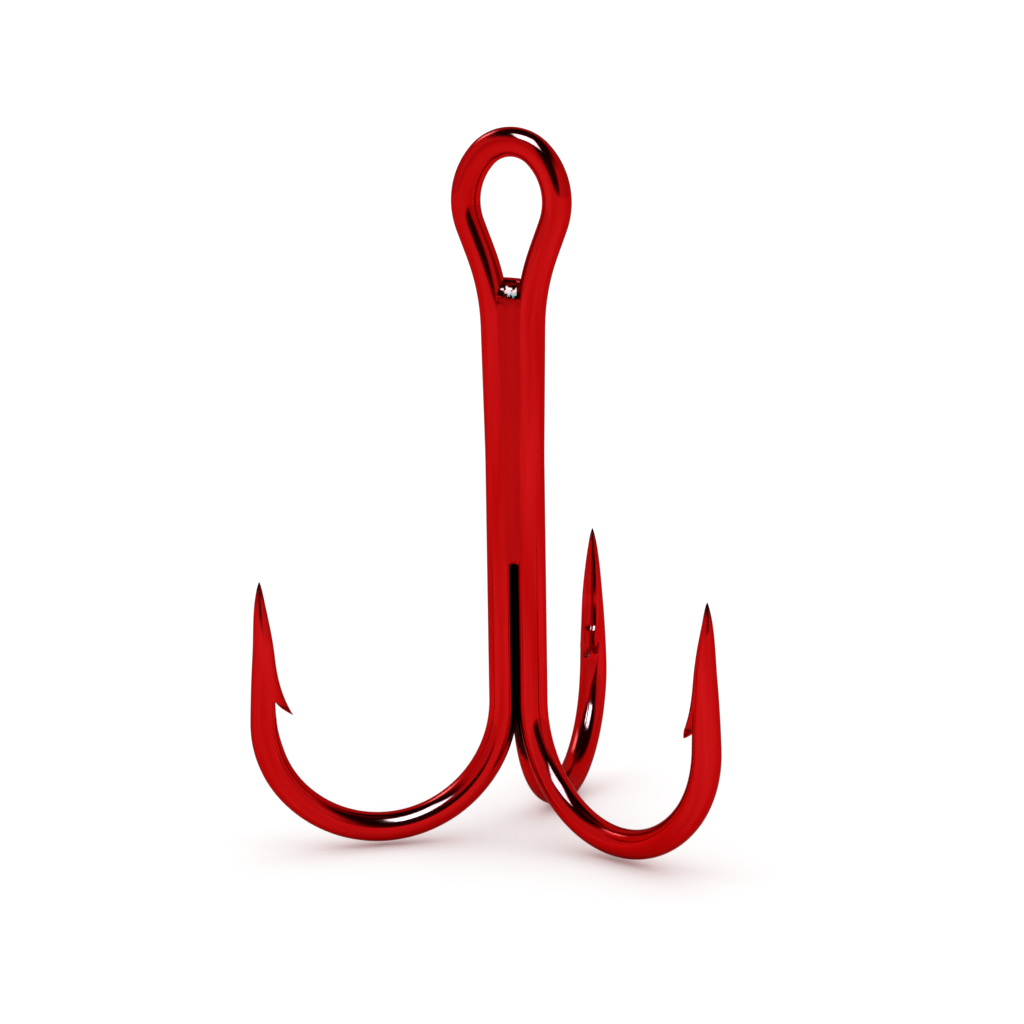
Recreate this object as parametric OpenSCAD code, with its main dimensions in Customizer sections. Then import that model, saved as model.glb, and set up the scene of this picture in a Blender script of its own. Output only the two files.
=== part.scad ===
// Treble hook: a double hook and a single hook of round wire, brazed together along the shank.
// The origin is the centre of the eye's top arc. +Z runs up the shank, the eye lies in the X-Z plane,
// two of the points stand at -X and +X a little towards -Y, and the third stands at +Y.

/* [Wire] */
// Diameter of the hook wire
wire_d = 1.5; // [1.3:0.05:1.6]
// Gap between neighbouring wires in the shank, filled by the braze
braze_gap = 0.08; // [0.05:0.01:0.12]

/* [Eye] */
// Centreline radius of the top of the eye
eye_top_r = 2; // [1.9:0.05:2.2]
// Angle that the top of the eye turns through on each side
eye_top_turn = 46; // [40:1:50]
// Centreline radius of each shoulder of the eye
eye_side_r = 3.4; // [3.3:0.05:3.8]
// Slope of the eye's flanks
eye_taper = 21; // [19:1:24]
// Centreline radius of the reverse bend that closes the eye
neck_r = 11; // [8:0.5:12]

/* [Shank] */
// Height from the centre of the eye down to the centre of the bends
shank_len = 26.5; // [24:0.5:30]
// Slope of the two legs in the upper shank
shank_taper = 1.2; // [0.6:0.1:1.6]
// Length of the sloping part of each leg
taper_len = 6.2; // [5:0.1:7]
// Centreline radius where the sloping legs straighten
heel_r = 32; // [20:1:40]
// Depth below the centre of the eye of the single hook's cut upper end
single_top = 5.1; // [4.9:0.1:6]
// How much lower than the other two the single hook sits
single_drop = 0.2; // [0:0.05:0.4]

/* [Bend and point] */
// Centreline radius of the bend on its shank side
bend_r = 6.3; // [5.8:0.1:7]
// Centreline radius of the bend on its point side
bend_point_r = 5.45; // [5:0.05:5.8]
// Angle from the shank at which the bend tightens
bend_split = 139; // [125:1:155]
// Angle by which the point leans back towards the shank
point_lean = 0.5; // [0.1:0.1:3]
// Height of the tip above the centre of the bend
point_h = 6.8; // [6.4:0.1:8]

/* [Barb] */
// Distance from the tip down to the barb's own tip
barb_drop = 6.95; // [6.5:0.05:7]
// Distance from the wire's axis out to the barb's own tip
barb_out = 1.4; // [1.1:0.05:1.5]
// Distance from the tip down to the root of the cut behind the barb
notch_drop = 6.25; // [5.8:0.05:6.3]
// Depth of the cut at its root
notch_depth = 0.22; // [0.1:0.01:0.3]
// Thickness of the barb where it leaves the wire
barb_t = 1; // [0.8:0.05:1.1]
// Thickness of the barb at its own tip
barb_tip_t = 0.2; // [0.1:0.05:0.3]

/* [Braze] */
// Depth below the centre of the eye of the seams' upper end
seam_top = 5.6; // [5.5:0.1:6.5]
// Depth below the centre of the eye of the seams' lower end
seam_bottom = 19.6; // [16:0.1:21]
// Height of the seams' faces above the line between the two wires that they join
seam_h = 0.62; // [0.5:0.01:0.68]
// Radius of the bead of braze in the crotch of the eye
bead_r = 0.6; // [0.5:0.05:0.65]

/* [Hidden] */
$fn = 96;
wire_r = wire_d / 2;
// The three wires stand on an equal triangle, with the two legs at y = 0.
leg_x = (wire_d + braze_gap) / 2;
single_y = leg_x * sqrt(3);
bundle_y = single_y / 3;
// Length of the straight flank of the eye that brings the leg down to leg_x.
flank_len = (eye_top_r * sin(eye_top_turn) + eye_side_r * (cos(eye_taper) - sin(eye_top_turn))
    - neck_r * (cos(shank_taper) - cos(eye_taper)) - taper_len * sin(shank_taper)
    - heel_r * (1 - cos(shank_taper)) - leg_x) / sin(eye_taper);
// Start of the reverse bend at the foot of the flank.
neck_x = leg_x + heel_r * (1 - cos(shank_taper)) + taper_len * sin(shank_taper)
    + neck_r * (cos(shank_taper) - cos(eye_taper));
neck_z = eye_top_r * cos(eye_top_turn) - eye_side_r * (sin(eye_taper) + cos(eye_top_turn))
    - flank_len * cos(eye_taper);
// Length of the vertical part of each leg.
leg_len = shank_len + neck_z - neck_r * (sin(eye_taper) - sin(shank_taper))
    - taper_len * cos(shank_taper) - heel_r * sin(shank_taper);
single_len = shank_len + single_drop - single_top;
// Length of the straight, ground end of each wire.
point_len = (point_h + (bend_r - bend_point_r) * sin(bend_split)
    - bend_point_r * sin(point_lean)) / cos(point_lean);
seam_len = seam_bottom - seam_top;
// Number of rings that the ground point is turned in.
point_rings = 14;
// Extra diameter and length of the disc where two lengths of one wire meet.
weld_grow = 0.01;
weld_len = 0.04;
// Turn about the leg that swings its bend out, away from the other two.
leg_roll = 210;

// Steps of bent wire: [length, 0, roll] is a straight run, and [radius, turn, roll] is a bend.
// The roll turns the wire about itself before the step.
shoulder_steps = [
    [eye_side_r, 90 + eye_taper - eye_top_turn, 0],
    [flank_len, 0, 0],
];
leg_steps = [
    [neck_r, shank_taper - eye_taper, 0],
    [taper_len, 0, 0],
    [heel_r, -shank_taper, 0],
    [leg_len, 0, 0],
];
function bend_steps(roll) = [
    [bend_r, bend_split, roll],
    [bend_point_r, 180 + point_lean - bend_split, 0],
];

// Radius of the ground point at a distance below its tip.
function point_r(below) = wire_r * pow(1 - pow(1 - below / point_len, 2), 0.8);

// Hair-thin disc that makes one solid of the two lengths of wire that meet at the origin.
module weld() {
    cylinder(d = wire_d + weld_grow, h = weld_len, center = true);
}

// Wire that starts at the origin along +Z and follows its steps, bending towards its own +X where the
// turn is positive. The children are drawn at its far end.
module bent_wire(steps, i = 0) {
    if (i < len(steps)) {
        size = steps[i][0];
        turn = steps[i][1];
        side = sign(turn) * size;
        rotate([0, 0, steps[i][2]]) {
            if (turn == 0) {
                cylinder(d = wire_d, h = size);
                translate([0, 0, size]) {
                    weld();
                    bent_wire(steps, i + 1) children();
                }
            } else {
                translate([side, 0, 0]) {
                    rotate([90, 0, 0])
                        rotate_extrude(angle = abs(turn), start = turn > 0 ? 180 - turn : 0)
                            translate([size, 0]) circle(d = wire_d);
                    rotate([0, turn, 0]) translate([-side, 0, 0]) {
                        weld();
                        bent_wire(steps, i + 1) children();
                    }
                }
            }
        }
    } else {
        children();
    }
}

// Side outline of the barb, with the wire's axis at x = 0 and the shank to its right.
module barb_side() {
    polygon([
        [0, point_len - notch_drop / 2],
        [point_r(notch_drop / 2), point_len - notch_drop / 2],
        [wire_r * 1.3, point_len - notch_drop * 0.92],
        [barb_out, point_len - barb_drop],
        [wire_r - notch_depth, point_len - notch_drop],
        [0, point_len - notch_drop],
    ]);
}

// Front outline of the barb, a tongue that narrows down to its tip.
module barb_front() {
    polygon([
        [-barb_t / 2, point_len],
        [-barb_t / 2, point_len - notch_drop],
        [-barb_tip_t / 2, point_len - barb_drop],
        [barb_tip_t / 2, point_len - barb_drop],
        [barb_t / 2, point_len - notch_drop],
        [barb_t / 2, point_len],
    ]);
}

// Side outline of the cut that raises the barb.
module notch_side() {
    polygon([
        [wire_r - notch_depth, point_len - notch_drop],
        [wire_r, 0],
        [2 * wire_r, 0],
        [2 * wire_r, point_len - notch_drop],
    ]);
}

// Stands an outline up in the X-Z plane, with half of its depth on each side.
module upright(depth) {
    rotate([90, 0, 0]) linear_extrude(depth, center = true) children();
}

// The ground end of a wire, from the end of its bend at z = 0 up to the tip.
module barbed_point() {
    difference() {
        rotate_extrude()
            polygon([
                [0, 0],
                for (i = [point_rings:-1:0])
                    let (below = point_len * i / point_rings) [point_r(below), point_len - below],
            ]);
        upright(2 * wire_d) notch_side();
    }
    intersection() {
        upright(2 * wire_d) barb_side();
        rotate([0, 0, 90]) upright(4 * wire_d) barb_front();
    }
}

// One leg between the eye and the start of its bend, with its children at the lower end.
module leg() {
    translate([neck_x, 0, neck_z]) rotate([0, 180 + eye_taper, 0])
        bent_wire(leg_steps) children();
}

// The single hook's shank, with its children at the lower end.
module single_shank() {
    translate([0, single_y, -single_top]) rotate([180, 0, 90])
        bent_wire([[single_len, 0, 0]]) children();
}

// The wires inside the brazed part of the shank.
module shank_wires() {
    for (side = [0, 1]) mirror([side, 0, 0]) leg();
    single_shank();
}

// Room for the braze between two wires: a bar from the line between them out to the seam's face.
module seam_bar() {
    translate([-leg_x, -seam_h, -seam_bottom]) cube([2 * leg_x, seam_h, seam_len]);
}

// Turns the front seam's place about the middle of the shank.
module around_shank(angle) {
    translate([0, bundle_y, 0]) rotate([0, 0, angle]) translate([0, -bundle_y, 0]) children();
}

// One wire that makes the eye, two legs of the shank, two bends and two barbed points.
module double_hook_wire() {
    color("firebrick") {
        rotate([90, 0, 0])
            rotate_extrude(angle = 2 * eye_top_turn, start = 90 - eye_top_turn)
                translate([eye_top_r, 0]) circle(d = wire_d);
        for (side = [0, 1]) mirror([side, 0, 0]) {
            rotate([0, eye_top_turn, 0]) translate([0, 0, eye_top_r]) rotate([0, 90, 0]) {
                weld();
                bent_wire(shoulder_steps);
            }
            leg() bent_wire(bend_steps(leg_roll)) barbed_point();
        }
    }
}

// One wire that makes the third shank, its bend and its barbed point.
module single_hook_wire() {
    color("firebrick") single_shank() bent_wire(bend_steps(0)) barbed_point();
}

// Braze in the front groove, between the two legs.
module front_braze_seam() {
    color("brown") difference() {
        seam_bar();
        shank_wires();
    }
}

// Braze in the groove between the left leg and the single hook.
module left_braze_seam() {
    color("brown") difference() {
        around_shank(-120) seam_bar();
        shank_wires();
    }
}

// Braze in the groove between the right leg and the single hook.
module right_braze_seam() {
    color("brown") difference() {
        around_shank(120) seam_bar();
        shank_wires();
    }
}

// Braze drawn into the narrow channel between all three wires.
module core_braze_fill() {
    color("brown") difference() {
        translate([0, 0, -seam_bottom]) linear_extrude(seam_len)
            polygon([[-leg_x, 0], [leg_x, 0], [0, single_y]]);
        shank_wires();
    }
}

// Rounded bead that closes the bottom of the eye, on top of the seams.
module crotch_braze_bead() {
    color("brown") difference() {
        translate([0, 0, -seam_top]) intersection() {
            sphere(r = bead_r);
            cylinder(r = bead_r, h = bead_r);
        }
        shank_wires();
    }
}

double_hook_wire();
single_hook_wire();
front_braze_seam();
left_braze_seam();
right_braze_seam();
core_braze_fill();
crotch_braze_bead();
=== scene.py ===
import math

import bpy
from mathutils import Matrix, Vector, noise


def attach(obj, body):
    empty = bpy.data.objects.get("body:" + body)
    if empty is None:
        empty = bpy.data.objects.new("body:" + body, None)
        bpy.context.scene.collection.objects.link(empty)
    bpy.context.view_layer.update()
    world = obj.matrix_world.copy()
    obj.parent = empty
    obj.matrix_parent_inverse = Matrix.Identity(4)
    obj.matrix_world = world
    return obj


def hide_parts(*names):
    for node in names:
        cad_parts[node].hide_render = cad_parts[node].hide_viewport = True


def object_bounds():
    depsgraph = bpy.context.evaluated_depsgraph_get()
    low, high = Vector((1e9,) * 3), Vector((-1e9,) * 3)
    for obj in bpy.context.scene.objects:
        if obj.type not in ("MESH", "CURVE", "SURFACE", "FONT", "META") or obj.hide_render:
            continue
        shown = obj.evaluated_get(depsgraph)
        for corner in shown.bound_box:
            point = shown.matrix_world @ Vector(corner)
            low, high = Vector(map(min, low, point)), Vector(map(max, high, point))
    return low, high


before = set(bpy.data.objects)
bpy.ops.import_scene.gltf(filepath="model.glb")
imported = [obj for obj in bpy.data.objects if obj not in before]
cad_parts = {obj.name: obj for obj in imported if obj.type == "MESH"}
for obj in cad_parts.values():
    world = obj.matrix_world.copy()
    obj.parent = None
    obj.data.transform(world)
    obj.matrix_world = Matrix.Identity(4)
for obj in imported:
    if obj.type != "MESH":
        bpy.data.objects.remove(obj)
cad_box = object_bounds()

# ---------------------------------------------------------------------------------------------
# Driving sizes of the hook, in metres and degrees, as in the CAD model
# ---------------------------------------------------------------------------------------------
MM = 0.001
WIRE_R = 0.75 * MM
BRAZE_GAP = 0.08 * MM

EYE_TOP_R = 2.0 * MM
EYE_TOP_TURN = 46.0
EYE_SIDE_R = 3.4 * MM
EYE_TAPER = 21.0
NECK_R = 11.0 * MM

SHANK_LEN = 26.5 * MM
SHANK_TAPER = 1.2
TAPER_LEN = 6.2 * MM
HEEL_R = 32.0 * MM
SINGLE_TOP = 5.1 * MM
SINGLE_DROP = 0.2 * MM

BEND_R = 6.3 * MM
BEND_POINT_R = 5.45 * MM
BEND_SPLIT = 139.0
POINT_LEAN = 0.5
POINT_H = 6.8 * MM

SEAM_BOTTOM = 19.6 * MM

# The two legs stand at y = 0 and the single hook behind them, on an equal triangle.
LEG_X = WIRE_R + BRAZE_GAP / 2
SINGLE_Y = LEG_X * math.sqrt(3)
SHANKS_Y = SINGLE_Y / 3        # the middle of the three shanks
LEG_ROLL = 210.0


def sin_d(angle):
    return math.sin(math.radians(angle))


def cos_d(angle):
    return math.cos(math.radians(angle))


FLANK_LEN = (EYE_TOP_R * sin_d(EYE_TOP_TURN)
             + EYE_SIDE_R * (cos_d(EYE_TAPER) - sin_d(EYE_TOP_TURN))
             - NECK_R * (cos_d(SHANK_TAPER) - cos_d(EYE_TAPER))
             - TAPER_LEN * sin_d(SHANK_TAPER)
             - HEEL_R * (1 - cos_d(SHANK_TAPER)) - LEG_X) / sin_d(EYE_TAPER)
LEG_LEN = (SHANK_LEN + EYE_TOP_R * cos_d(EYE_TOP_TURN)
           - EYE_SIDE_R * (sin_d(EYE_TAPER) + cos_d(EYE_TOP_TURN))
           - FLANK_LEN * cos_d(EYE_TAPER)
           - NECK_R * (sin_d(EYE_TAPER) - sin_d(SHANK_TAPER))
           - TAPER_LEN * cos_d(SHANK_TAPER) - HEEL_R * sin_d(SHANK_TAPER))
POINT_LEN = (POINT_H + (BEND_R - BEND_POINT_R) * sin_d(BEND_SPLIT)
             - BEND_POINT_R * sin_d(POINT_LEAN)) / cos_d(POINT_LEAN)

# ---------------------------------------------------------------------------------------------
# The ground point and its barb, measured along the wire from the tip
# ---------------------------------------------------------------------------------------------
SPEAR_LEN = 9.0 * MM           # where the grinding starts to thin the wire
SPEAR_POWER = 0.7              # how full the ground point is
TIP_OFFSET = 0.15 * MM         # how far the tip stands outside the wire's axis
TIP_STRAIGHT = (0.7 * MM, 3.9 * MM)

BARB_START = 3.4 * MM          # where the barb starts to rise from the point
BARB_TIP = 6.95 * MM
BARB_RISE = 0.75 * MM
BARB_POWER = 2.6
BARB_CREST = 34.0              # half angle of the barb's full height, about the inner side
BARB_FOOT = (84.0, 60.0)       # half angle of the barb's foot, where it starts and at the cut
CREST_FLAT = 0.5               # how much of the crest's roundness the grinding takes away
FLAT_REACH = (0.6 * MM, 2.4 * MM)
KNUCKLE = 0.12 * MM            # height of the tool mark on the single hook's barb
KNUCKLE_UP = (5.17 * MM, 5.62 * MM)
KNUCKLE_DOWN = (5.62 * MM, 6.4 * MM)
NOTCH_ROOT = 6.1 * MM
NOTCH_END = 9.2 * MM
NOTCH_FLOOR = 0.49 * MM        # height of the cut's floor above the wire's axis, at its root
TONGUE_FLAT = 9.0              # half angle of the barb's blunt tip
TONGUE_ROOT = 54.0             # half angle of the barb at the root of the cut
RING_GAP = 0.03 * MM           # climb between the rings of the cut, so that no two rings meet
TONGUE_FULL = 1.1              # above 1, the barb is thicker than a straight cut would leave it
TIP_CROWDING = 1.6             # above 1, the rings of the point crowd towards its tip

TIP_WEAR = (0.05 * MM, 1.4 * MM)    # distances over which the lacquer's wear fades away
BARB_WEAR = (0.05 * MM, 0.3 * MM)

SEGMENTS = 72                  # a multiple of 12, so that the legs' roll falls on a vertex


def smoothstep(low, high, value):
    t = min(max((value - low) / (high - low), 0.0), 1.0)
    return t * t * (3 - 2 * t)


def spear_radius(below):
    t = min(below / SPEAR_LEN, 1.0)
    return WIRE_R * (1 - (1 - t) ** 2) ** SPEAR_POWER


def spear_offset(below):
    return TIP_OFFSET * (1 - smoothstep(*TIP_STRAIGHT, below))


def barb_rise(below):
    t = min(max((below - BARB_START) / (BARB_TIP - BARB_START), 0.0), 1.0)
    return BARB_RISE * t ** BARB_POWER


def from_inner_side(angle):
    """The angle, in degrees, between a radian angle about the wire and the side facing the shank."""
    return abs(math.degrees(math.atan2(math.sin(angle), math.cos(angle))))


def tongue_share(angle):
    """How far down the barb's free tongue reaches at this angle, from 0 to 1."""
    t = (from_inner_side(angle) - TONGUE_FLAT) / (TONGUE_ROOT - TONGUE_FLAT)
    return 1 - min(max(t, 0.0), 1.0)


def spear_section(below, angle, knuckle=0.0):
    """Inward and sideways place on the ground point, above the cut."""
    radius = spear_radius(below)
    t = smoothstep(BARB_START, NOTCH_ROOT, below)
    foot = BARB_FOOT[0] + (BARB_FOOT[1] - BARB_FOOT[0]) * t
    raised = barb_rise(below)
    raised += knuckle * smoothstep(*KNUCKLE_UP, below) * (1 - smoothstep(*KNUCKLE_DOWN, below))
    raised += radius * CREST_FLAT * smoothstep(*FLAT_REACH, below) * (1 - math.cos(angle))
    raised *= 1 - smoothstep(BARB_CREST, foot, from_inner_side(angle))
    return radius * math.cos(angle) - spear_offset(below) + raised, radius * math.sin(angle)


def notch_section(below, angle):
    """Inward and sideways place on the wire, below the cut."""
    radius = spear_radius(below)
    floor = NOTCH_FLOOR + (WIRE_R - NOTCH_FLOOR) * smoothstep(NOTCH_ROOT, NOTCH_END, below)
    return min(radius * math.cos(angle), floor), radius * math.sin(angle)


# ---------------------------------------------------------------------------------------------
# Bent wires
# ---------------------------------------------------------------------------------------------
BEND_STEPS = [(BEND_R, BEND_SPLIT), (BEND_POINT_R, 180 + POINT_LEAN - BEND_SPLIT)]
EYE_STEPS = [(EYE_TOP_R, EYE_TOP_TURN), (EYE_SIDE_R, 90 + EYE_TAPER - EYE_TOP_TURN), (FLANK_LEN, 0)]
LEG_STEPS = [(NECK_R, SHANK_TAPER - EYE_TAPER), (TAPER_LEN, 0), (HEEL_R, -SHANK_TAPER), (LEG_LEN, 0)]
ROLL = "roll"
STEP_ANGLE = 2.5
STEP_LEN = 0.5 * MM


def walk(start, steps):
    """Frames along a bent wire, each with the length so far and the roll so far.

    A step is (length, 0) for a straight run, (radius, turn) for a bend, or (ROLL, angle). The wire
    runs along its frame's Z, and bends towards its frame's X where the turn is positive."""
    here, length, rolled = start.copy(), 0.0, 0.0
    frames = [(here, length, rolled)]
    for size, turn in steps:
        if size == ROLL:
            here = here @ Matrix.Rotation(math.radians(turn), 4, "Z")
            rolled += turn
            continue
        run = size * math.radians(abs(turn)) if turn else size
        count = math.ceil(abs(turn) / STEP_ANGLE) if turn else math.ceil(size / STEP_LEN)
        middle = Matrix.Translation((math.copysign(size, turn), 0, 0))
        for i in range(1, count + 1):
            if turn:
                spin = Matrix.Rotation(math.radians(turn * i / count), 4, "Y")
                move = middle @ spin @ middle.inverted()
            else:
                move = Matrix.Translation((0, 0, run * i / count))
            frames.append((here @ move, length + run * i / count, rolled))
        here, length = here @ move, length + run
    return frames


class Wire:
    """Rings of a wire that ends in a barbed point, with the data that its surface carries."""

    def __init__(self, frames, knuckle=0.0):
        self.rings = []
        self.knuckle = knuckle
        self.end, bent_len, self.rolled = frames[-1]
        self.total = bent_len + POINT_LEN
        for matrix, length, rolled in frames:
            self.add(matrix, length, rolled, lambda a, b=self.total - length: notch_section(b, a))
        self.add_notch_and_tongue()
        self.add_spear()
        self.tip = self.at(0) @ Vector((-spear_offset(0), 0, 0))
        self.barb_tip = self.at(BARB_TIP) @ Vector((spear_section(BARB_TIP, 0)[0], 0, 0))

    def at(self, below):
        """Frame on the straight, ground end of the wire, at a distance below its tip."""
        return self.end @ Matrix.Translation((0, 0, POINT_LEN - below))

    def add(self, matrix, length, rolled, section, climb=lambda angle: 0.0):
        """Adds a ring of points. Each has its place, and its place on the wire laid out straight."""
        ring = []
        for k in range(SEGMENTS):
            flat = 360 * k / SEGMENTS
            angle = math.radians(flat - rolled)
            inward, sideways = section(angle)
            radius = math.hypot(inward, sideways)
            straight = Vector((radius * cos_d(flat), radius * sin_d(flat), length + climb(angle)))
            ring.append((matrix @ Vector((inward, sideways, climb(angle))), straight))
        self.rings.append(ring)

    def add_below_tip(self, below, section, climb=lambda angle: 0.0):
        self.add(self.at(below), self.total - below, self.rolled, section, climb)

    def add_notch_and_tongue(self):
        """The cut's floor up to its root, the underside of the tongue, and back up its face."""
        reach = BARB_TIP - NOTCH_ROOT
        floor_rings, tongue_rings = 9, 10
        for i in range(1, floor_rings + 1):
            below = POINT_LEN + (NOTCH_ROOT + RING_GAP - POINT_LEN) * i / floor_rings
            self.add_below_tip(below, lambda a, b=below: notch_section(b, a))
        for i in range(1, 2 * tongue_rings + 1):
            t = 1 - abs(1 - i / tongue_rings)
            below = NOTCH_ROOT + RING_GAP * (1 - i / tongue_rings)

            def face(angle):
                return spear_section(below + reach * tongue_share(angle) * t, angle, self.knuckle)

            def underside(angle):
                low, high = notch_section(below, angle), face(angle)
                return low[0] + (high[0] - low[0]) * t ** TONGUE_FULL, low[1] + (high[1] - low[1]) * t

            self.add_below_tip(below, underside if i < tongue_rings else face,
                               lambda a: -reach * tongue_share(a) * t)

    def add_spear(self):
        """The ground point, with its rings closer together as it narrows."""
        count = 90
        start = NOTCH_ROOT - 2 * RING_GAP
        for i in range(count):
            below = start * (1 - i / count) ** TIP_CROWDING
            self.add_below_tip(below, lambda a: spear_section(below, a, self.knuckle))

    def mesh_data(self):
        """Vertices, straightened places, faces and wear, closed at the tip."""
        verts = [place for ring in self.rings for place, _ in ring] + [self.tip]
        straight = [flat for ring in self.rings for _, flat in ring] + [Vector((0, 0, self.total))]
        faces = []
        for j in range(len(self.rings) - 1):
            faces += band(j * SEGMENTS, (j + 1) * SEGMENTS)
        last = (len(self.rings) - 1) * SEGMENTS
        faces += [(last + k, last + (k + 1) % SEGMENTS, len(verts) - 1) for k in range(SEGMENTS)]
        worn = [1 - min(smoothstep(*TIP_WEAR, (v - self.tip).length),
                        smoothstep(*BARB_WEAR, (v - self.barb_tip).length)) for v in verts]
        return verts, straight, faces, worn


def band(first, second):
    """Quads between two rings of vertices, given the first index of each."""
    turn = [(k, (k + 1) % SEGMENTS) for k in range(SEGMENTS)]
    return [(first + k, first + n, second + n, second + k) for k, n in turn]


SHARP_EDGE = 40.0              # angle between faces above which an edge stays crisp
CREASE_SHADE_REACH = (0.94 * MM, 1.04 * MM)  # distances from the shank's middle over which the painted shade in the crease between the wires fades
CREASE_SHADE_TOP = (5.2 * MM, 5.8 * MM)      # depths below the eye over which the painted crease shade starts


def mesh_piece(name, verts, faces, straight=None, worn=None):
    """An object with the surface data that the lacquer reads: straightened place, painted crease shade and
    wear.
    """
    mesh = bpy.data.meshes.new(name)
    mesh.from_pydata([tuple(v) for v in verts], [], faces)
    # Painted shade: how far into the crease between the three wires a point lies, fading out up towards the
    # eye
    crease_shade = [smoothstep(*CREASE_SHADE_TOP, -v.z) * (1 - smoothstep(*CREASE_SHADE_REACH, math.hypot(v.x, v.y - SHANKS_Y)))
              for v in verts]
    layer = mesh.attributes.new("straightened", "FLOAT_VECTOR", "POINT")
    layer.data.foreach_set("vector", [c for v in (straight or verts) for c in v])
    for key, values in (("crease_shade", crease_shade), ("worn", worn or [0.0] * len(verts))):
        mesh.attributes.new(key, "FLOAT", "POINT").data.foreach_set("value", values)
    mesh.shade_smooth()
    mesh.set_sharp_from_angle(angle=math.radians(SHARP_EDGE))
    piece = bpy.data.objects.new(name, mesh)
    bpy.context.scene.collection.objects.link(piece)
    return piece


EYE_TOP = Matrix.Translation((0, 0, EYE_TOP_R)) @ Matrix.Rotation(math.radians(90), 4, "Y")


def make_double_hook():
    """One wire from point to point through the eye: a half and its mirror image share the top ring."""
    wire = Wire(walk(EYE_TOP, EYE_STEPS + LEG_STEPS + [(ROLL, LEG_ROLL)] + BEND_STEPS))
    verts, straight, faces, worn = wire.mesh_data()
    shift = len(verts) - SEGMENTS
    faces += [tuple(i if i < SEGMENTS else i + shift for i in reversed(face)) for face in faces]
    verts += [Vector((-v.x, v.y, v.z)) for v in verts[SEGMENTS:]]
    straight += [Vector((s.x, s.y, -s.z)) for s in straight[SEGMENTS:]]
    worn += worn[SEGMENTS:]
    return mesh_piece("double_hook", verts, faces, straight, worn)


CUT_EDGE = 0.07 * MM           # rounding of the cut end's rim
CUT_WEAR = 0.5                 # how bare the cut end is


def make_single_hook():
    """The third wire, from its cut end below the eye to its point."""
    top = (Matrix.Translation((0, SINGLE_Y, -SINGLE_TOP - CUT_EDGE))
           @ Matrix.Rotation(math.radians(90), 4, "Z") @ Matrix.Rotation(math.radians(180), 4, "X"))
    shank = (SHANK_LEN + SINGLE_DROP - SINGLE_TOP - CUT_EDGE, 0)
    wire = Wire(walk(top, [shank] + BEND_STEPS), KNUCKLE)
    verts, straight, faces, worn = wire.mesh_data()
    above = 0
    for turn in (30, 60, 90):
        radius = WIRE_R - CUT_EDGE * (1 - cos_d(turn))
        ring = [Vector((radius * cos_d(360 * k / SEGMENTS), radius * sin_d(360 * k / SEGMENTS),
                        -CUT_EDGE * sin_d(turn))) for k in range(SEGMENTS)]
        first = len(verts)
        verts += [top @ v for v in ring]
        straight += ring
        worn += [CUT_WEAR] * SEGMENTS
        faces += band(first, above)
        above = first
    verts.append(top @ Vector((0, 0, -CUT_EDGE)))
    straight.append(Vector((0, 0, -CUT_EDGE)))
    worn.append(CUT_WEAR)
    faces += [(len(verts) - 1, above + (k + 1) % SEGMENTS, above + k) for k in range(SEGMENTS)]
    return mesh_piece("single_hook", verts, faces, straight, worn)


# ---------------------------------------------------------------------------------------------
# Braze
# ---------------------------------------------------------------------------------------------
LEG_LINE = [matrix.translation for matrix, _, _ in walk(EYE_TOP, EYE_STEPS + LEG_STEPS)]
CONTACT_IN = 0.19 * MM         # from a wire's middle to the seam's edge, towards the groove
CONTACT_END = 0.48 * MM        # the same at the seam's tapered lower end
CONTACT_SPREAD = 0.5           # how much of the legs' spread the seam's edge gives up
SEAM_TOP = 5.4 * MM            # where the tapered tops of the two back seams run out
SEAM_TAPER = 1.1 * MM
SEAM_ARCH = 0.12 * MM          # how much higher the middle of a seam's lower end is than its sides
SEAM_SAG = 0.085 * MM
SEAM_BITE = 0.02 * MM          # how deep the seam's feathered edge sinks into the wire
SEAM_RIPPLE = 0.012 * MM
RIPPLE_ACROSS = 1.4            # ripples from the middle of a seam to its edge
RIPPLE_LEN = 1.1 * MM
SEAM_END = 0.35 * MM           # length over which a seam's end rounds off
SEAM_END_FILL = 0.35           # share of its height that a seam keeps at its very end
SEAM_BACK = 0.1 * MM           # height of the seam's hidden back above the line between the wires
BACK_IN = 0.6 * WIRE_R         # from a wire's middle to the hidden back's edge, inside the wire
FRONT_SEED = 1.7


def leg_x_at(z):
    """Distance of a leg's middle from the plane of symmetry, at a height in the shank."""
    for upper, lower in zip(LEG_LINE, LEG_LINE[1:]):
        if lower.z <= z < upper.z:
            return upper.x + (lower.x - upper.x) * (z - upper.z) / (lower.z - upper.z)
    return LEG_X


def ripple(a, b, seed):
    return noise.noise(Vector((a, b, seed)))


def wire_middles(z):
    """Middles of the left leg, the right leg and the single hook's shank at a height."""
    x = leg_x_at(z)
    return Vector((-x, 0, z)), Vector((x, 0, z)), Vector((0, SINGLE_Y, z))


def closed_sheet(name, outer, inner, columns, rows):
    """A closed piece between an outer and an inner surface, each a function of u and v from 0 to 1.

    Its faces are wound so that they point inwards, which is a known fault."""
    verts, faces = [], []
    for surface in (outer, inner):
        for j in range(rows + 1):
            verts += [surface(i / columns, j / rows) for i in range(columns + 1)]
    wide = columns + 1
    under = wide * (rows + 1)
    for j in range(rows):
        for i in range(columns):
            a = j * wide + i
            faces.append((a, a + 1, a + wide + 1, a + wide))
            faces.append(tuple(under + n for n in (a + wide, a + wide + 1, a + 1, a)))
    for i in range(columns):
        far = rows * wide + i
        faces.append((i + 1, i, i + under, i + 1 + under))
        faces.append((far, far + 1, far + 1 + under, far + under))
    for j in range(rows):
        a, b = j * wide, j * wide + columns
        faces.append((a, a + wide, a + wide + under, a + under))
        faces.append((b + wide, b, b + under, b + wide + under))
    return mesh_piece(name, verts, faces)


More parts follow.
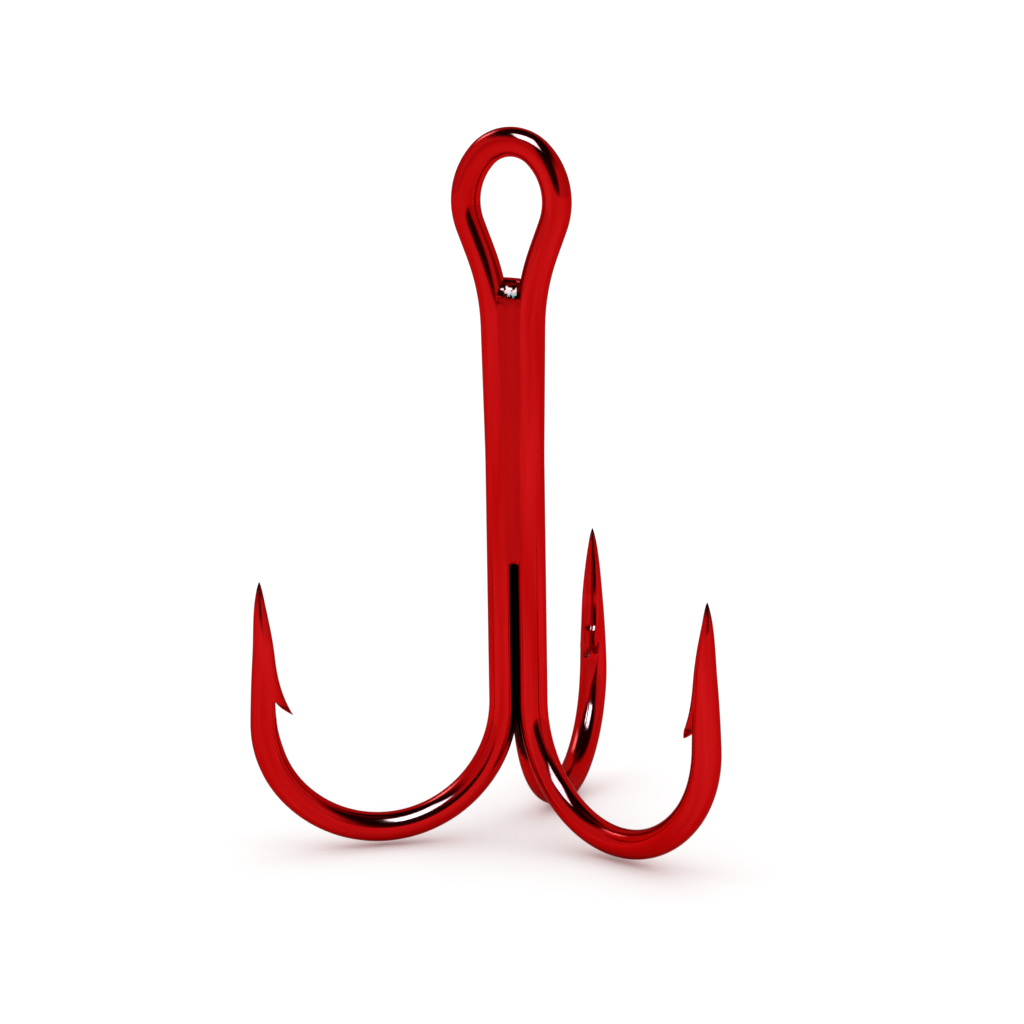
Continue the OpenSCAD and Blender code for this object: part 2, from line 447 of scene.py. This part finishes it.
def meniscus(to_end, spread):
    """Half width, height at the edges and sag of the braze, this far from a tapered end.

    The spread is half the distance between the two wires' middles."""
    taper = 1 - smoothstep(0, SEAM_TAPER, to_end)
    contact = CONTACT_IN + CONTACT_SPREAD * (spread - LEG_X)
    contact += (CONTACT_END - contact) * taper
    width = spread - contact
    rim = math.sqrt(WIRE_R ** 2 - contact ** 2) - SEAM_BITE
    return width, rim, SEAM_SAG * (width / (LEG_X - CONTACT_IN)) ** 2 - SEAM_BITE


def seam_wave(side, z, seed):
    return SEAM_RIPPLE * ripple(side * RIPPLE_ACROSS, z / RIPPLE_LEN, seed) * (1 - side ** 4)


def make_seam(name, first, second, start, seed, tapered_top):
    """Braze that fills the groove between two of the three wires, as a shallow meniscus.

    The lower end tapers off, and so does the upper end unless the bead covers it."""
    def place(z, across, height):
        middles = wire_middles(z)
        a, b = middles[first], middles[second]
        out = (a + b) / 2 - sum(middles, Vector()) / 3
        return (a + b) / 2 + (b - a).normalized() * across + out.normalized() * height

    def spread(z):
        middles = wire_middles(z)
        return (middles[first] - middles[second]).length / 2

    def height_at(u, v):
        bottom = SEAM_BOTTOM - SEAM_ARCH * (1 - (2 * u - 1) ** 2)
        return -start - (bottom - start) * v, bottom

    def outer(u, v):
        z, bottom = height_at(u, v)
        side = 2 * u - 1
        to_end = min(-start - z, z + bottom)
        width, rim, sag = meniscus(to_end if tapered_top else z + bottom, spread(z))
        fill = math.sqrt(1 - (1 - min(to_end / SEAM_END, 1.0)) ** 2)
        fill = SEAM_END_FILL + (1 - SEAM_END_FILL) * fill
        height = rim - sag * (1 - side ** 2) + seam_wave(side, z, seed)
        return place(z, side * width, SEAM_BACK + (height - SEAM_BACK) * fill)

    def inner(u, v):
        z, _ = height_at(u, v)
        return place(z, (2 * u - 1) * (spread(z) - BACK_IN), SEAM_BACK)

    def eased(surface):
        # Rows crowd towards both ends, where the seam rounds off.
        return lambda u, v: surface(u, (1 - math.cos(math.pi * v)) / 2)

    return closed_sheet(name, eased(outer), eased(inner), columns=16, rows=150)


CORE_R = 0.57 * MM             # reaches the backs of the seams between parallel wires
CORE_SPREAD = 0.6              # how much the core grows with the legs' spread
CORE_END = 0.2 * MM
CORE_UNEVEN = 0.03             # share of its radius
CORE_WAVES = 2                 # larger for more bulges around it


def make_core():
    """Braze drawn into the channel between the three wires, with rounded ends."""
    middle = (SEAM_TOP + SEAM_BOTTOM) / 2
    half = (SEAM_BOTTOM - SEAM_TOP) / 2
    rows = 120
    verts, faces = [Vector((0, SHANKS_Y, -SEAM_BOTTOM))], []
    for j in range(1, rows):
        z = -middle - half * math.cos(math.pi * j / rows)
        to_end = min((half - abs(z + middle)) / CORE_END, 1.0)
        radius = (CORE_R + CORE_SPREAD * (leg_x_at(z) - LEG_X)) * math.sqrt(1 - (1 - to_end) ** 2)
        for k in range(SEGMENTS):
            turn = 360 * k / SEGMENTS
            bulge = ripple(CORE_WAVES * cos_d(turn), CORE_WAVES * sin_d(turn), z / MM)
            uneven = radius * (1 + CORE_UNEVEN * bulge)
            verts.append(Vector((uneven * cos_d(turn), SHANKS_Y + uneven * sin_d(turn), z)))
        if j > 1:
            faces += band(1 + (j - 2) * SEGMENTS, 1 + (j - 1) * SEGMENTS)
    last = len(verts) - SEGMENTS
    verts.append(Vector((0, SHANKS_Y, -SEAM_TOP)))
    for k in range(SEGMENTS):
        n = (k + 1) % SEGMENTS
        faces += [(1 + n, 1 + k, 0), (last + k, last + n, len(verts) - 1)]
    return mesh_piece("core_fill", verts, faces)


# Side view of the bead's top, as (y, z) in mm, from the single hook's cut end over the crest to the front.
BEAD_LINE = [(1.0, -5.2), (0.78, -4.98), (0.56, -4.86), (0.34, -4.905), (0.12, -5.01), (-0.1, -5.19),
             (-0.276, -5.4), (-0.441, -5.65), (-0.521, -5.8), (-0.578, -6.0)]
BEAD_FOOT = 6.3 * MM           # depth at which the bead's slope turns into the front seam's face
BEAD_END = 7.5 * MM            # depth at which the bead has thinned out on the front seam
BEAD_PROUD = (0.02 * MM, -0.006 * MM)   # how far the bead stands out from the seam's face, foot to end
BEAD_SAG = (0.3 * MM, 0.08 * MM)        # hollow between the legs, at the crest and at the foot
BEAD_BACK = 0.45 * MM          # greatest y at which the bead's edges follow the legs
BEAD_TILT = 0.06 * MM          # fall of the bead's crest towards the right
BEAD_SKEW = 0.12 * MM          # how much further forward the left half of its ledge stands
BEAD_LUMPS = 0.022 * MM
LUMP_WAVES = ((1.0, 1.7, 9, 4.0), (0.5, 3.5, 20, 7.0))   # strength, lumps outwards and downwards, seed
LUMPS_FADE = 1.5               # how many times sooner than the bead its lumps end
BEAD_DEPTH = 0.3 * MM

# Shares of the way down the bead's side view over which its features start or fade
TILT_FADE = (0.36, 0.6)
LEDGE_START = (0.2, 0.31)
LEDGE_FADE = (0.41, 0.52)
SAG_FADE = (0.16, 0.5)


def spline(points, t):
    """Place and direction on a smooth curve through points, for t from 0 to 1."""
    # The last place is just short of the last point, so that a stretch always lies ahead of it.
    spot = min(t * (len(points) - 1), len(points) - 1.000001)
    i, f = int(spot), spot - int(spot)
    p = [Vector(points[min(max(i + k, 0), len(points) - 1)]) for k in (-1, 0, 1, 2)]
    a, b = 2 * p[1], p[2] - p[0]
    c, d = 2 * p[0] - 5 * p[1] + 4 * p[2] - p[3], 3 * (p[1] - p[2]) + p[3] - p[0]
    return (a + b * f + c * f ** 2 + d * f ** 3) / 2, (b + 2 * c * f + 3 * d * f ** 2).normalized()


def bead_line():
    """The side view of the bead's top, in metres, all the way down the front seam's face."""
    line = [(y * MM, z * MM) for y, z in BEAD_LINE]
    steps = 6
    for i in range(steps + 1):
        t = i / steps
        z = -BEAD_FOOT - (BEAD_END - BEAD_FOOT) * t
        _, rim, sag = meniscus(SHANK_LEN, leg_x_at(z))
        proud = BEAD_PROUD[0] + (BEAD_PROUD[1] - BEAD_PROUD[0]) * smoothstep(0, 1, t)
        line.append((sag - rim - proud, z))
    return line


def make_bead():
    """The lumpy bead of braze that closes the bottom of the eye and runs down into the front seam."""
    line = bead_line()

    def surface(u, v, depth):
        spot, along = spline(line, v)
        side = 2 * u - 1
        upper = 1 - smoothstep(*TILT_FADE, v)
        ledge = smoothstep(*LEDGE_START, v) * (1 - smoothstep(*LEDGE_FADE, v))
        sag = BEAD_SAG[0] + (BEAD_SAG[1] - BEAD_SAG[0]) * smoothstep(*SAG_FADE, v)
        z = spot.y - BEAD_TILT * side * upper
        middle = spot.x + BEAD_SKEW * side * ledge
        _, rim, _ = meniscus(SHANK_LEN, leg_x_at(z))
        edge_y = min(max(middle - sag, -rim), BEAD_BACK)
        half = leg_x_at(z) - math.sqrt((WIRE_R - SEAM_BITE) ** 2 - edge_y ** 2)
        lumps = sum(strength * ripple(side * across, v * down, seed)
                    for strength, across, down, seed in LUMP_WAVES)
        lift = BEAD_LUMPS * lumps * (1 - side ** 4) * math.sin(math.pi * min(LUMPS_FADE * v, 1)) - depth
        lift += seam_wave(side, z, FRONT_SEED) * (1 - upper)
        y = edge_y + (middle - edge_y) * (1 - side ** 2)
        return Vector((side * half, y + lift * along.y, z - lift * along.x))

    return closed_sheet("crotch_bead", lambda u, v: surface(u, v, 0.0),
                        lambda u, v: surface(u, v, BEAD_DEPTH), columns=40, rows=80)


# ---------------------------------------------------------------------------------------------
# Materials
# ---------------------------------------------------------------------------------------------
def add(tree, kind, inputs=None, **settings):
    """A new node with its settings, and its inputs each linked or set."""
    node = tree.nodes.new(kind)
    for key, value in settings.items():
        setattr(node, key, value)
    for key, value in (inputs or {}).items():
        if isinstance(value, bpy.types.NodeSocket):
            tree.links.new(value, node.inputs[key])
        else:
            node.inputs[key].default_value = value
    return node


def surface_noise(tree, size, along, detail):
    """Noise on the straightened wire, with features of this size across it and along it."""
    place = add(tree, "ShaderNodeAttribute", attribute_name="straightened").outputs["Vector"]
    scaled = add(tree, "ShaderNodeVectorMath", {0: place, 1: (1 / size, 1 / size, 1 / along)},
                 operation="MULTIPLY").outputs[0]
    return add(tree, "ShaderNodeTexNoise",
               {"Vector": scaled, "Scale": 1.0, "Detail": detail}).outputs["Fac"]


def to_range(tree, value, low, high, start=0.3, stop=0.7):
    return add(tree, "ShaderNodeMapRange", {"Value": value, "From Min": start, "From Max": stop,
                                            "To Min": low, "To Max": high}).outputs["Result"]


def faded(tree, value, start, stop):
    """A smooth fade from 0 at start to 1 at stop."""
    return add(tree, "ShaderNodeMapRange", {"Value": value, "From Min": start, "From Max": stop},
               interpolation_type="SMOOTHSTEP").outputs["Result"]


def mixed(tree, factor, first, second):
    return add(tree, "ShaderNodeMix", {"Factor": factor, "A": first, "B": second},
               data_type="RGBA").outputs["Result"]


DEEP_RED = (0.41, 0.0002, 0.0005, 1)
BRIGHT_RED = (0.55, 0.0055, 0.0065, 1)
BRAZE_DEEP_RED = (0.37, 0.0015, 0.0018, 1)
BRAZE_BRIGHT_RED = (0.45, 0.003, 0.0035, 1)
# Near black: painted shade for the crease between the wires, not a colour of the lacquer
CREASE_SHADE_RED = (0.03, 0.0002, 0.0003, 1)
BARE_TIP = (0.03, 0.0003, 0.0004, 1)
EDGE_TINT = (0.4, 0.04, 0.04, 1)
WORN_ROUGHNESS = 0.25
COAT_WEIGHT = 0.03
COAT_ROUGHNESS = 0.03

DRAWN_LINE = (0.045 * MM, 2.4 * MM)   # width and length of the lines that drawing leaves in the wire
FILM_PATCH = (0.55 * MM, 9 * MM)      # width and length of the film's thicker and thinner patches
FILM_ROUGHNESS = (0.75, 1.4)          # roughness of those patches, as shares of the lacquer's own
RAGGED = 0.25                         # how far the orange peel breaks up the edge of the wear
BARE = (0.3, 0.95)                    # wear at which the lacquer starts to go, and is gone


def lacquer(name, deep, bright, roughness, line_height, peel_height, peel_size):
    """Clear red lacquer over bright metal: drawn lines under it, orange peel on top."""
    material = bpy.data.materials.new(name)
    material.use_nodes = True
    tree = material.node_tree
    shader = tree.nodes["Principled BSDF"]
    lines = surface_noise(tree, *DRAWN_LINE, 3)
    peel = surface_noise(tree, peel_size, peel_size, 2)
    film = surface_noise(tree, *FILM_PATCH, 4)
    crease_shade = add(tree, "ShaderNodeAttribute", attribute_name="crease_shade").outputs["Fac"]
    worn = add(tree, "ShaderNodeAttribute", attribute_name="worn").outputs["Fac"]

    red = mixed(tree, to_range(tree, film, 0, 1), deep, bright)
    # Painted shade: the lacquer goes near black close to the shank's middle, where the wires meet
    red = mixed(tree, crease_shade, red, CREASE_SHADE_RED)
    ragged = add(tree, "ShaderNodeMath", {0: worn, 1: to_range(tree, peel, -RAGGED, RAGGED)},
                 operation="ADD").outputs[0]
    bare = to_range(tree, ragged, 0, 1, *BARE)
    tree.links.new(mixed(tree, bare, red, BARE_TIP), shader.inputs["Base Color"])

    smooth, dull = FILM_ROUGHNESS
    rough = to_range(tree, film, roughness * smooth, roughness * dull)
    rough = add(tree, "ShaderNodeMath", {0: worn, 1: WORN_ROUGHNESS, 2: rough},
                operation="MULTIPLY_ADD").outputs[0]
    tree.links.new(rough, shader.inputs["Roughness"])

    bump = add(tree, "ShaderNodeBump", {"Height": lines, "Distance": line_height, "Strength": 1.0})
    bump = add(tree, "ShaderNodeBump", {"Height": peel, "Distance": peel_height, "Strength": 1.0,
                                        "Normal": bump.outputs[0]})
    for socket in ("Normal", "Coat Normal"):
        tree.links.new(bump.outputs[0], shader.inputs[socket])
    shader.inputs["Metallic"].default_value = 1.0
    shader.inputs["Specular Tint"].default_value = EDGE_TINT
    shader.inputs["Coat Weight"].default_value = COAT_WEIGHT
    shader.inputs["Coat Roughness"].default_value = COAT_ROUGHNESS
    return material


# ---------------------------------------------------------------------------------------------
# Studio
# ---------------------------------------------------------------------------------------------
def toward(azimuth, elevation):
    """Unit vector towards a place in the studio. Azimuth 0 is in front of the eye, 90 to its right."""
    return Vector((sin_d(azimuth) * cos_d(elevation), -cos_d(azimuth) * cos_d(elevation), sin_d(elevation)))


def dot(tree, ray, vector):
    return add(tree, "ShaderNodeVectorMath", {0: ray, 1: vector}, operation="DOT_PRODUCT").outputs["Value"]


def multiply(tree, first, second):
    return add(tree, "ShaderNodeMath", {0: first, 1: second}, operation="MULTIPLY").outputs[0]


AHEAD_FADE = (0.05, 0.2)       # cosines of a ray's angle to a lamp between which the lamp starts to count


def panel(tree, ray, centre, half_width, half_height, soft):
    """How much of a rectangular lamp a ray sees, from 0 to 1. Its sizes are in degrees."""
    side = Vector((0, 0, 1)).cross(centre).normalized()
    ahead = dot(tree, ray, centre)
    seen = to_range(tree, ahead, 0, 1, *AHEAD_FADE)
    for axis, half in ((side, half_width), (centre.cross(side), half_height)):
        slope = add(tree, "ShaderNodeMath", {0: dot(tree, ray, axis), 1: ahead}, operation="DIVIDE")
        away = add(tree, "ShaderNodeMath", {0: slope.outputs[0]}, operation="ABSOLUTE").outputs[0]
        edge, blur = math.tan(math.radians(half)), math.tan(math.radians(soft))
        seen = multiply(tree, seen, faded(tree, away, edge + blur, edge - blur))
    return seen


def flag(tree, ray, corners, softs):
    """How much of a dark flag a ray sees. Its corners run clockwise as the eye sees them."""
    seen = None
    for first, second, soft in zip(corners, corners[1:] + corners[:1], softs):
        inward = toward(*second).cross(toward(*first)).normalized()
        side = faded(tree, dot(tree, ray, inward), -sin_d(soft), sin_d(soft))
        seen = multiply(tree, seen, side) if seen else side
    return seen


WALL_LIGHT = 0.88
CEILING_LIGHT = 0.02
CEILING_MIDDLE = (45, 78)      # azimuth and elevation
CEILING_EDGES = (57.0, 36.0)   # degrees from its middle at which the ceiling starts and is full
FLAG_CORNERS = [(0, 1), (14, 36), (70, 40), (42, 1)]
FLAG_SOFTS = (6.0, 4.0, 7.0, 4.0)   # degrees over which its left, top, right and lower edges fade
FLAG_SHADE = 0.96
KEY_LIGHT = (4.0, 300.0, 280.0)
KEY_PLACE = (15, 57)           # azimuth and elevation
KEY_SIZE = (16.5, 14.5, 3)     # half its width, half its height and its soft edge, in degrees
SIDE_LIGHT = (1.6, 70.0, 70.0)
SIDE_PLACE = (-114, 44)
SIDE_SIZE = (9, 9, 6)
ECHO = 0.05                    # strength of the lamps in the reflection of a reflection
ECHO_LIGHT = (0.8, 0.8, 0.8, 1)     # what replaces the walls, the ceiling and the flag there
DOME_LIGHT = 1.14
FLOOR_COLOR = (0.96, 0.96, 0.96, 1)
FLOOR_SIZE = 40                # metres, so large that its edge is out of sight


def make_studio():
    """White walls, a dark ceiling, one big soft lamp above the camera, a small one and a dark flag.

    Only reflections see them. The floor is lit by an even white dome."""
    world = bpy.data.worlds.new("studio")
    bpy.context.scene.world = world
    world.use_nodes = True
    world.cycles.sampling_method = "NONE"
    tree = world.node_tree
    ray = add(tree, "ShaderNodeTexCoord").outputs["Generated"]
    path = add(tree, "ShaderNodeLightPath").outputs
    light = add(tree, "ShaderNodeMapRange", {
        "Value": dot(tree, ray, toward(*CEILING_MIDDLE)), "From Min": cos_d(CEILING_EDGES[0]),
        "From Max": cos_d(CEILING_EDGES[1]), "To Min": WALL_LIGHT, "To Max": CEILING_LIGHT},
        interpolation_type="SMOOTHSTEP").outputs["Result"]
    dark = flag(tree, ray, FLAG_CORNERS, FLAG_SOFTS)
    shade = add(tree, "ShaderNodeMath", {0: dark, 1: -FLAG_SHADE, 2: 1.0}, operation="MULTIPLY_ADD")
    light = multiply(tree, light, shade.outputs[0])
    light = mixed(tree, to_range(tree, path["Glossy Depth"], 0, 1, 1, 2), light, ECHO_LIGHT)
    echo = to_range(tree, path["Glossy Depth"], 1, ECHO, 1, 2)
    for lamp, power in ((panel(tree, ray, toward(*KEY_PLACE), *KEY_SIZE), KEY_LIGHT),
                        (panel(tree, ray, toward(*SIDE_PLACE), *SIDE_SIZE), SIDE_LIGHT)):
        light = add(tree, "ShaderNodeVectorMath", {0: multiply(tree, lamp, echo), 1: power, 2: light},
                    operation="MULTIPLY_ADD").outputs[0]
    dome = to_range(tree, path["Is Camera Ray"], DOME_LIGHT, 1, 0, 1)
    direct = to_range(tree, path["Diffuse Depth"], 1, 0, 0, 1)
    shown = mixed(tree, multiply(tree, path["Is Glossy Ray"], direct), dome, light)
    tree.links.new(shown, tree.nodes["Background"].inputs["Color"])


def make_floor():
    bpy.ops.mesh.primitive_plane_add(size=FLOOR_SIZE, location=(0, 0, cad_box[0][2]))
    floor = bpy.context.object
    floor.name = "floor"
    material = bpy.data.materials.new("floor")
    material.use_nodes = True
    shader = material.node_tree.nodes["Principled BSDF"]
    shader.inputs["Base Color"].default_value = FLOOR_COLOR
    shader.inputs["Roughness"].default_value = 1.0
    shader.inputs["Specular IOR Level"].default_value = 0.0
    floor.data.materials.append(material)


CAMERA_AZ = 17.75
CAMERA_EL = 9.5
CAMERA_ROLL = 0.85
CAMERA_DISTANCE = 166.0 * MM
CAMERA_LENS = 114.48           # millimetres, like the sensor's width
SENSOR_WIDTH = 36
CLIP_START = 5 * MM
CAMERA_TARGET = Vector((-0.308, 0.358, -16.805)) * MM


def make_camera():
    back = toward(CAMERA_AZ, CAMERA_EL)
    right = Vector((cos_d(CAMERA_AZ), sin_d(CAMERA_AZ), 0))
    axes = Matrix((right, back.cross(right), back)).transposed().to_4x4()
    data = bpy.data.cameras.new("camera")
    data.lens = CAMERA_LENS
    data.sensor_width = SENSOR_WIDTH
    data.clip_start = CLIP_START
    camera = bpy.data.objects.new("camera", data)
    bpy.context.scene.collection.objects.link(camera)
    roll = Matrix.Rotation(math.radians(-CAMERA_ROLL), 4, "Z")
    camera.matrix_world = Matrix.Translation(CAMERA_TARGET + back * CAMERA_DISTANCE) @ axes @ roll
    bpy.context.scene.camera = camera


# ---------------------------------------------------------------------------------------------
# Assembly
# ---------------------------------------------------------------------------------------------
def place_piece(piece, node, material):
    piece.data.materials.append(material)
    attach(piece, "root")
    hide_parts(node)


bpy.context.scene.view_settings.view_transform = "Standard"
make_camera()
make_studio()
make_floor()

wire_lacquer = lacquer("wire_lacquer", DEEP_RED, BRIGHT_RED, roughness=0.08,
                       line_height=0.0006 * MM, peel_height=0.0015 * MM, peel_size=0.35 * MM)
braze_lacquer = lacquer("braze_lacquer", BRAZE_DEEP_RED, BRAZE_BRIGHT_RED, roughness=0.1,
                        line_height=0.0004 * MM, peel_height=0.006 * MM, peel_size=0.3 * MM)

LEFT, RIGHT, SINGLE = 0, 1, 2
place_piece(make_double_hook(), "double_hook_wire", wire_lacquer)
place_piece(make_single_hook(), "single_hook_wire", wire_lacquer)
for name, first, second, start, seed, tapered_top in (
        ("front", LEFT, RIGHT, BEAD_FOOT, FRONT_SEED, False),
        ("left", SINGLE, LEFT, SEAM_TOP, 5.3, True),
        ("right", RIGHT, SINGLE, SEAM_TOP, 8.1, True)):
    seam = make_seam(name + "_seam", first, second, start, seed, tapered_top)
    place_piece(seam, name + "_braze_seam", braze_lacquer)
place_piece(make_core(), "core_braze_fill", braze_lacquer)
place_piece(make_bead(), "crotch_braze_bead", braze_lacquer)
